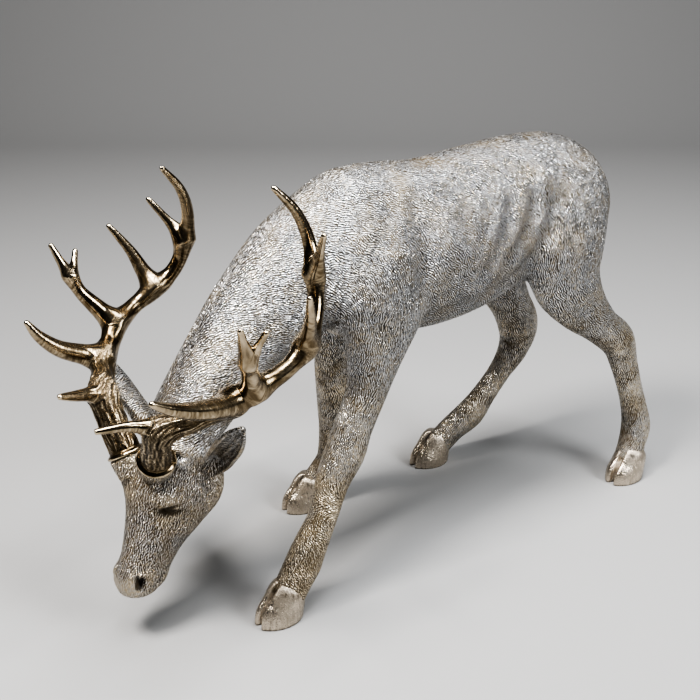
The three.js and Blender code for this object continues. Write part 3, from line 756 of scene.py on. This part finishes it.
TINE_RINGS, TINE_SIDES, ANTLER_ROUNDS, WAY_ROUNDS, ANTLER_RECESS = 30, 36, 3, 12, 8
TIP_RADIUS, TIP_ROUND, TIP_SHARE = 2.3, 1.4, 0.4
FORK_FILLET, FORK_REACH, FORK_ROUNDS = 13.0, 5.0, 12
FORK_SHARE, BEAM_SHARE = 0.45, 0.15
BARK_GROOVES, BARK_WAVES, BARK_BEND = (7, 12, 19, 26), (41, 56, 77, 98), 1.6
BARK_DEEP, BARK_SINK = 0.2625, 0.225
BARK_END, BARK_FADE = 0.36, 0.16


def tine(rows, side):
    """The rows as round sections on the head, with a smaller one past the last to round the tip."""
    tube = np.array(rows, float)[:, [0, 1, 2, 3, 3, 3]]
    tube[-1, 3:] = np.maximum(tube[-1, 3:], TIP_RADIUS)
    beyond = tube[-1].copy()
    beyond[:3] += unit(tube[-1, :3] - tube[-2, :3]) * TIP_ROUND
    beyond[3:] *= TIP_SHARE
    return on_head(np.vstack([tube, beyond]), side)


def antler(side, rods):
    """The beam, tines and burr poured as one skin, webbed at the forks by overlap squared
    / (4 * fillet), grooved like bark and cut flat at the seat. The grooves are the sum of
    cos(count * angle round the beam + bend) over a few counts, each bent by its own slow sine, and
    fade out by the second tine. Also gives where the bark is, and the way the metal runs."""
    foot, line = seats[side]
    tubes = [tine(rows, side) for rows in rods]
    solids = [limb(tube, (TINE_RINGS + TINE_RINGS * len(tube) // 4, TINE_SIDES)) for tube in tubes]
    solids.append(turned(foot, line, BURR_PROFILE, BURR_SIDES))
    points, faces = poured(solids, ANTLER_VOXEL)
    edges = edges_of(faces)
    points = relaxed(points, edges, ANTLER_ROUNDS, SMOOTH_SHARE)
    near = [nearness(points, tube) for tube in tubes]
    outside = np.array([item[0] for item in near])
    apart = np.sort(outside, axis=0)
    web = np.maximum(FORK_FILLET - (apart[1] - apart[0]), 0)**2 / (4 * FORK_FILLET)
    clear_of_burr = np.clip(((points - foot) @ line - BURR_HIGH) / BURR_FADE, 0, 1)
    swelling = web * clear_of_burr * bell(apart[0] / FORK_REACH)
    points = points + normals_of(points, faces) * swelling[:, None]
    at_fork = np.clip(web, 0, 1)
    points = relaxed(points, edges, FORK_ROUNDS, clear_of_burr * (BEAM_SHARE + FORK_SHARE * at_fork))
    ways = np.array([item[2] for item in near])[outside.argmin(0), np.arange(len(points))]
    for _ in range(WAY_ROUNDS):
        ways = averaged(ways, edges)
    _, along, _, around = near[0]
    on_beam = bell(np.maximum(outside[0], 0) / FORK_REACH)
    bark = np.clip((BARK_END - along) / BARK_FADE, 0, 1) * on_beam * clear_of_burr
    bends = [BARK_BEND * np.sin(along * wave + count) for wave, count in zip(BARK_WAVES, BARK_GROOVES)]
    grooves = sum(np.cos(around * count + bend) for count, bend in zip(BARK_GROOVES, bends))
    sunk = bark * (BARK_DEEP * grooves - BARK_SINK)
    points = points + normals_of(points, faces) * sunk[:, None]
    above_foot = (points - foot) @ line
    points = points + line * np.maximum(SEAT_TOP - above_foot, 0)[:, None]
    return points, faces, bark, unit(ways)


antlers = []
for name, (side, rods) in ANTLERS.items():
    points, faces, bark, way = antler(side, rods)
    piece = blender_object(name + "_casting", within(points, name), faces)
    put_attributes(piece, bark=bark, lie=way, recess=hollowness(points, faces, ANTLER_RECESS))
    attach(piece, "root")
    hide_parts(name)
    antlers.append(piece)


# The finish of the animal: silvery metal under a brown-black patina, which was rubbed back on the
# high strokes of the coat, where the metal shows pale and a little warm, and stayed in the cuts. The
# same dark colour also paints shade on the legs and over the tops of the hooves.
class Socket:
    """One shader socket. Python's operators on it add Math nodes, and make() adds any other node."""

    def __init__(self, tree, output=None):
        self.tree, self.output = tree, output

    def make(self, kind, settings, sockets, output=0):
        """A node of a kind, with its settings made first, then its sockets."""
        node = self.tree.nodes.new("ShaderNode" + kind)
        for key, value in settings.items():
            setattr(node, key, value)
        for key, value in sockets.items():
            if isinstance(value, Socket):
                self.tree.links.new(value.output, node.inputs[key])
            else:
                node.inputs[key].default_value = value
        return Socket(self.tree, node.outputs[output])

    def math(self, operation, *values, clamp=False):
        return self.make("Math", {"operation": operation, "use_clamp": clamp}, dict(enumerate(values)))

    def __add__(self, other):
        return self.math("ADD", self, other)

    def __sub__(self, other):
        return self.math("SUBTRACT", self, other)

    def __rsub__(self, other):
        return self.math("SUBTRACT", other, self)

    def __mul__(self, other):
        return self.math("MULTIPLY", self, other)

    def __truediv__(self, other):
        return self.math("DIVIDE", self, other)

    def __pow__(self, other):
        return self.math("POWER", self, other)

    __radd__, __rmul__ = __add__, __mul__

    def clamped(self):
        return self.math("ADD", self, 0.0, clamp=True)

    def above(self, start, steepness):
        """0 up to the start, then rising to 1."""
        return ((self - start) * steepness).clamped()

    def into(self, shader, name):
        """Feeds this value to one of the shader's inputs."""
        self.tree.links.new(self.output, shader.inputs[name])

    def vector(self, operation, *others, output=0):
        """A Vector Math node; SCALE takes one number."""
        sockets = dict(enumerate((self, *others)))
        if operation == "SCALE":
            sockets = {0: self, "Scale": others[0]}
        return self.make("VectorMath", {"operation": operation}, sockets, output)

    def mixed(self, low, high):
        """The colour low where this value is 0 and high where it is 1."""
        node = self.tree.nodes.new("ShaderNodeMix")
        node.data_type = "RGBA"
        for slot, value in ((0, self), (6, low), (7, high)):
            if isinstance(value, Socket):
                self.tree.links.new(value.output, node.inputs[slot])
            else:
                node.inputs[slot].default_value = value if slot == 0 else (*value, 1)
        return Socket(self.tree, node.outputs[2])


def new_material(name):
    """A material with nothing but its output and its shader, and the tree to work in."""
    material = bpy.data.materials.new(name)
    material.use_nodes = True
    nodes = material.node_tree.nodes
    return material, Socket(material.node_tree), nodes["Principled BSDF"]


def attribute(tree, name, output):
    """What put_attributes left on the vertices: Fac for a number, Vector for a direction."""
    return tree.make("Attribute", {"attribute_name": name}, {}, output)


def noise(tree, place, size, detail=2.0, output=0):
    """Smooth random values from 0 to 1, in patches about size millimetres across."""
    return tree.make("TexNoise", {}, {"Vector": place, "Scale": 1.0 / size, "Detail": detail}, output)


STROKE_EDGE, STROKE_LEAST = 7.0, 0.35


def strokes(tree, place, lie, size, width):
    """Chisel strokes from 0 to 1: in each cell of a jittered lattice, a row of cosine ridges across
    the lie of the hair, with a turn and a start of the cell's own, fading at the cell's edge."""
    cell = {"Vector": place.vector("SCALE", 1.0 / size), "Scale": 1.0}
    spot = tree.make("TexVoronoi", {}, cell, "Position").vector("SCALE", size)
    chance = tree.make("TexVoronoi", {}, cell, "Color")
    edge = tree.make("TexVoronoi", {"feature": "DISTANCE_TO_EDGE"}, cell, "Distance")
    red = tree.make("SeparateColor", {}, {0: chance}, 0)
    green = tree.make("SeparateColor", {}, {0: chance}, 1)
    normal = tree.make("NewGeometry", {}, {}, "Normal")
    across = normal.vector("CROSS_PRODUCT", lie).vector("NORMALIZE")
    across = across.vector("ADD", lie.vector("SCALE", red - 0.5))
    phase = place.vector("SUBTRACT", spot).vector("DOT_PRODUCT", across, output="Value") / width
    ridge = tree.math("COSINE", (phase + green) * (2 * math.pi)) * 0.5 + 0.5
    fade = edge.above(0.0, STROKE_EDGE)
    return ridge * (fade * (1 - STROKE_LEAST) + STROKE_LEAST)


SILVER, PALE_GOLD = (0.77, 0.78, 0.79), (0.84, 0.70, 0.49)
PATINA_AND_SHADE, OLIVE = (0.020, 0.017, 0.014), (0.095, 0.070, 0.038)
HORN = (0.60, 0.52, 0.42)
# A stroke is its cell's size and its own width, in millimetres like the patches, and STROKE_DEEP is
# in metres. The numbers named DARK, WARM or ROUGH are weights.
LONG_STROKE, SHORT_STROKE, DAB = (5.8, 2.1), (4.2, 1.7), (2.3, 2.0)
SHORT_SHIFT, DAB_SHIFT = (31.0, 17.0, 5.0), (7.0, 3.0, 19.0)
STROKE_DEEP, STROKE_PATCH = 0.0006, 26.0
WAVER_SIZE, WAVER_REACH = 9.0, 3.2
SPECK, FLECK, BROAD, STREAK = 1.1, 2.6, 8.0, 2.2
STAIN_PATCH, WARM_PATCH = 20.0, 34.0
STREAK_SQUEEZE = (1.0, 1.0, 0.12)
STAIN_START, STAIN_STEEP, STAIN_FACE = 0.46, 3.5, 0.4
FOLD_STEEP, FOLD_START, WORN_STEEP, WORN_START = 0.8, 0.1, 1.3, 0.15
LEG_FAINT, LEG_LIFT, BARE_LIFT, BARE_GRAIN = 0.3, 0.14, 0.75, 0.9
CUT_SHARP, CUT_DARK, FOLD_DARK, GRAIN_DARK, STAIN_DARK = 1.4, 1.3, 0.4, 0.5, 0.12
SPINE_DARK, WORN_OFF, BARE_DARK, SPECK_START, SPECK_DARK = 0.25, 0.3, 0.5, 0.4, 0.7
# On the legs the patch weight paints highlight and shade, and the least weight paints shade over them
# all.
LEG_STAIN, LEG_LIGHT_AND_SHADE, LEG_PAINTED_SHADE = 0.25, 0.6, 0.13
# The coronet's darkening is painted shade over the hooves' tops, with the coronet's dark line.
CORONET_LEVEL, CORONET_STEEP, CORONET_LINE_AND_SHADE = 22.0, 0.12, 0.45
SOLE_LEVEL, SOLE_STEEP, SOLE_DARK = 3.0, 0.25, 0.6
HOOF_PATCH, HOOF_LEAST = 0.8, 0.22
PATCH_WARM, WORN_WARM, FACE_WARM, FLECK_WARM, LEG_WARM = 0.4, 0.3, 0.25, 0.55, 0.25
ROUGH_LEAST, ROUGH_CUT, ROUGH_GRAIN, ROUGH_HOOF, COVER = 0.20, 0.38, 0.15, 0.03, 0.35
GRAIN_HIGH, STREAK_HIGH = 0.25, 0.25

silver, tree, shader = new_material("antique_silver_coat")
place = tree.make("TexCoord", {}, {}, "Object").vector("SCALE", 1.0 / MM)
level = tree.make("SeparateXYZ", {}, {0: place}, 2)
lie = attribute(tree, "lie", "Vector").vector("NORMALIZE")
zones = ("coat", "horn", "spine", "ink", "face", "leg")
coat, horn, spine, ink, face, leg = (attribute(tree, zone, "Fac").clamped() for zone in zones)
recess = attribute(tree, "recess", "Fac")
hide = 1.0 - horn
bare = 1.0 - coat

speck = noise(tree, place, SPECK)
grain = speck - 0.5
broad = noise(tree, place, BROAD) - 0.5
streak = noise(tree, place.vector("MULTIPLY", STREAK_SQUEEZE), STREAK, detail=3.0)
stain = (noise(tree, place, STAIN_PATCH, detail=4.0) - STAIN_START) * STAIN_STEEP
stain = (stain + face * STAIN_FACE).clamped()
folds = (recess * FOLD_STEEP - FOLD_START).clamped()
worn = (recess * -WORN_STEEP - WORN_START).clamped()

# The height of the strokes, 0 in a cut and 1 on a ridge: long and short ones in patches, dabs on the
# face, fainter ones on the legs, and only a grain where the coat is bare.
waver = noise(tree, place, WAVER_SIZE, 2.0, "Color").vector("SUBTRACT", (0.5, 0.5, 0.5))
hair_place = place.vector("ADD", waver.vector("SCALE", WAVER_REACH))
long_strokes = strokes(tree, hair_place, lie, *LONG_STROKE)
short_strokes = strokes(tree, hair_place.vector("ADD", SHORT_SHIFT), lie, *SHORT_STROKE)
dabs = strokes(tree, hair_place.vector("ADD", DAB_SHIFT), lie, *DAB)
share = noise(tree, place, STROKE_PATCH).above(start=0.4, steepness=5.0)
hair = long_strokes * share + short_strokes * (1.0 - share)
hair = dabs * face + hair * (1.0 - face)
hair = hair * (1.0 - leg * LEG_FAINT) + leg * LEG_LIFT
hair = hair * coat + bare * (BARE_LIFT + grain * BARE_GRAIN)

# How dark the finish is: patina in the cuts and folds, where it was left thick on the face, in stains and
# in streaks on the hooves; darker along the spine and at the sole; painted shade over the legs, with
# broad patches of painted highlight and shade on them; painted shade on the hooves below the coronet's
# edge, together with the coronet's dark line.
darkened = (1.0 - hair) ** CUT_SHARP * CUT_DARK * hide + folds * FOLD_DARK + grain * GRAIN_DARK * hide
darkened = darkened + stain * STAIN_DARK + spine * SPINE_DARK - worn * WORN_OFF
darkened = darkened + bare * hide * BARE_DARK + face * (speck - SPECK_START) * SPECK_DARK
# On the legs: stains, painted shade over them all, and broad patches of painted highlight and shade.
darkened = darkened + leg * hide * (stain * LEG_STAIN + broad * LEG_LIGHT_AND_SHADE + LEG_PAINTED_SHADE)
# Painted shade over the top of each hoof, dulling the light from above, with the coronet's dark line.
coronet = level.above(CORONET_LEVEL, CORONET_STEEP) * CORONET_LINE_AND_SHADE
# Darker at the bottom of each hoof, next to the floor.
sole = (SOLE_LEVEL - level).above(0.0, SOLE_STEEP) * SOLE_DARK
darkened = darkened + horn * (streak - 0.5 + broad * HOOF_PATCH + (coronet + sole) + HOOF_LEAST)
darkened = (darkened + ink).clamped()

# How far the rubbing turned the silver to pale gold: in broad patches, on worn edges, in small flecks.
patches = noise(tree, place, WARM_PATCH, detail=3.0).above(start=0.5, steepness=4.5)
flecks = noise(tree, place, FLECK, detail=1.0).above(start=0.52, steepness=6.0)
warm = patches * PATCH_WARM + worn * WORN_WARM + face * FACE_WARM + flecks * FLECK_WARM + leg * LEG_WARM

metal = horn.mixed(warm.clamped().mixed(SILVER, PALE_GOLD), HORN)
darkened.mixed(metal, (stain * (1.0 - ink)).mixed(PATINA_AND_SHADE, OLIVE)).into(shader, "Base Color")
(ROUGH_LEAST + darkened * ROUGH_CUT + grain * ROUGH_GRAIN - horn * ROUGH_HOOF).into(shader, "Roughness")
(1.0 - darkened * COVER).into(shader, "Metallic")
height = hair + grain * GRAIN_HIGH * hide + horn * streak * STREAK_HIGH
bump = {"Strength": 1.0, "Distance": STROKE_DEEP, "Height": height}
tree.make("Bump", {}, bump).into(shader, "Normal")
stag.data.materials.append(silver)


# The finish of the antlers: aged brassy metal, rubbed bright along the tines and on their edges, and
# left dark in the grooves of the bark. Its streaks run along the beam and the tines. BARK_BUMP is in
# metres.
BRASS, BRIGHT_BRASS, BRASS_DARK = (0.135, 0.098, 0.054), (0.66, 0.55, 0.39), (0.010, 0.0075, 0.005)
BRASS_STREAK, BRASS_BROAD, BRASS_PATCH, BRASS_SPECK = 1.7, 6.0, 30.0, 0.9
STREAK_LONG = 0.88
HOLLOW_STEEP, EDGE_STEEP, RUB_START, RUB_STEEP = 1.6, 1.2, 0.52, 1.8
HOLLOW_DARK, STREAK_DARK, BARK_STREAK, PATCH_DARK = 0.5, 0.6, 1.9, 0.9
BARK_DARK, DARK_LEAST, RUB_OFF = 0.3, 0.1, 0.4
BRASS_ROUGH, BRASS_ROUGH_CUT, BRASS_ROUGH_PATCH, BRASS_COVER = 0.17, 0.3, 0.1, 0.3
BRASS_LINE, BARK_LINE, BRASS_GRAIN = 0.16, 1.1, 0.12
BARK_BUMP, BARK_BUMP_SHARE = 0.00045, 0.8

brass, tree, shader = new_material("rubbed_brass")
place = tree.make("TexCoord", {}, {}, "Object").vector("SCALE", 1.0 / MM)
lie = attribute(tree, "lie", "Vector").vector("NORMALIZE")
bark = attribute(tree, "bark", "Fac").clamped()
recess = attribute(tree, "recess", "Fac")
along = place.vector("DOT_PRODUCT", lie, output="Value") * STREAK_LONG
squeezed = place.vector("SUBTRACT", lie.vector("SCALE", along))
streak = noise(tree, squeezed, BRASS_STREAK, detail=3.0)
broad = noise(tree, squeezed, BRASS_BROAD)
patch = noise(tree, place, BRASS_PATCH) - 0.5
grain = noise(tree, place, BRASS_SPECK) - 0.5
folds = (recess * HOLLOW_STEEP).clamped()
worn = (recess * -EDGE_STEEP + (broad - RUB_START) * RUB_STEEP).clamped()
darkened = folds * HOLLOW_DARK + (streak - 0.5) * (bark * BARK_STREAK + STREAK_DARK)
darkened = darkened + patch * PATCH_DARK + bark * BARK_DARK + DARK_LEAST
darkened = (darkened - worn * RUB_OFF).clamped()
darkened.mixed(worn.mixed(BRASS, BRIGHT_BRASS), BRASS_DARK).into(shader, "Base Color")
(BRASS_ROUGH + darkened * BRASS_ROUGH_CUT + patch * BRASS_ROUGH_PATCH).into(shader, "Roughness")
(1.0 - darkened * BRASS_COVER).into(shader, "Metallic")
height = streak * (BRASS_LINE + bark * BARK_LINE) + grain * BRASS_GRAIN * bark
bump = {"Strength": BARK_BUMP_SHARE, "Distance": BARK_BUMP, "Height": height}
tree.make("Bump", {}, bump).into(shader, "Normal")
for piece in antlers:
    piece.data.materials.append(brass)


# The studio, in metres: a pale sweep under and behind the statue, one soft light high beyond its head,
# one from the front right and one overhead, and the camera where the photograph was taken from. A
# light is its turn and height in degrees, distance, size, power and colour.
SWEEP_FRONT, SWEEP_BACK, SWEEP_CURVE, SWEEP_HIGH, SWEEP_WIDE = -1.1, 1.6, 0.8, 1.6, 1.6
SWEEP_STEPS, PAPER, PAPER_ROUGH = 24, (0.25, 0.248, 0.245, 1), 0.85
LIGHTS = {
    "key": (-84, 60, 1.5, (0.4, 0.4), 46, (1.0, 0.97, 0.94)),
    "fill": (28, 32, 1.9, (0.7, 0.7), 40, (0.96, 0.98, 1.0)),
    "top": (20, 80, 1.4, (1.2, 0.4), 36, (0.97, 0.98, 1.0)),
}
AIR_COLOUR, AIR_STRENGTH = (0.75, 0.80, 0.88, 1), 0.03
PHOTO_FOCUS, PHOTO_SIZE, SENSOR = 1080, 700, 36
VIEW_TURN, VIEW_FALL, VIEW_FAR = math.radians(-34), math.radians(24.3), 1.023
VIEW_AIM = (np.array([-44, 24, 191]) + SHIFT) * MM


def view_axes(turn, fall):
    """The right, up and backward axes of a camera that stands at a turn round the statue and looks
    down by a fall."""
    back = np.array([math.sin(turn) * math.cos(fall), -math.cos(turn) * math.cos(fall), math.sin(fall)])
    right = np.array([math.cos(turn), math.sin(turn), 0])
    return right, np.cross(back, right), back


def placed(axes, place):
    """The matrix of something that looks along minus its third axis from a place."""
    rows = np.column_stack([*axes, place])
    return Matrix([*rows.tolist(), (0, 0, 0, 1)])


bend = np.linspace(0, np.pi / 2, SWEEP_STEPS)
run = np.concatenate([[SWEEP_FRONT], SWEEP_BACK + SWEEP_CURVE * np.sin(bend), [SWEEP_BACK + SWEEP_CURVE]])
rise = np.concatenate([[0], SWEEP_CURVE * (1 - np.cos(bend)), [SWEEP_HIGH]])
right, _, back = view_axes(VIEW_TURN, 0)
middle = np.stack([-back[0] * run, -back[1] * run, rise], -1)
grid = np.stack([middle - right * SWEEP_WIDE, middle + right * SWEEP_WIDE], 1)
quads = [(2 * i, 2 * i + 1, 2 * i + 3, 2 * i + 2) for i in range(len(run) - 1)]
sweep_mesh = bpy.data.meshes.new("sweep")
sweep_mesh.from_pydata(grid.reshape(-1, 3).tolist(), [], quads)
sweep_mesh.shade_smooth()
sweep = linked("sweep", sweep_mesh)
paper, _, shader = new_material("pale_paper")
shader.inputs["Base Color"].default_value = PAPER
shader.inputs["Roughness"].default_value = PAPER_ROUGH
sweep_mesh.materials.append(paper)

for name, (turn, height, far, size, power, colour) in LIGHTS.items():
    lamp = bpy.data.lights.new(name, "AREA")
    lamp.shape = "RECTANGLE"
    lamp.size, lamp.size_y = size
    lamp.energy, lamp.color = power, colour
    light = linked(name, lamp)
    axes = view_axes(math.radians(turn), math.radians(height))
    light.matrix_world = placed(axes, VIEW_AIM + axes[2] * far)
world = bpy.data.worlds.new("studio")
world.use_nodes = True
world.node_tree.nodes["Background"].inputs["Color"].default_value = AIR_COLOUR
world.node_tree.nodes["Background"].inputs["Strength"].default_value = AIR_STRENGTH
bpy.context.scene.world = world

camera_data = bpy.data.cameras.new("camera")
camera_data.sensor_width, camera_data.lens = SENSOR, PHOTO_FOCUS / PHOTO_SIZE * SENSOR
camera = linked("camera", camera_data)
axes = view_axes(VIEW_TURN, VIEW_FALL)
camera.matrix_world = placed(axes, VIEW_AIM + axes[2] * VIEW_FAR)
bpy.context.scene.camera = camera
bpy.context.scene.view_settings.look = "AgX - High Contrast"
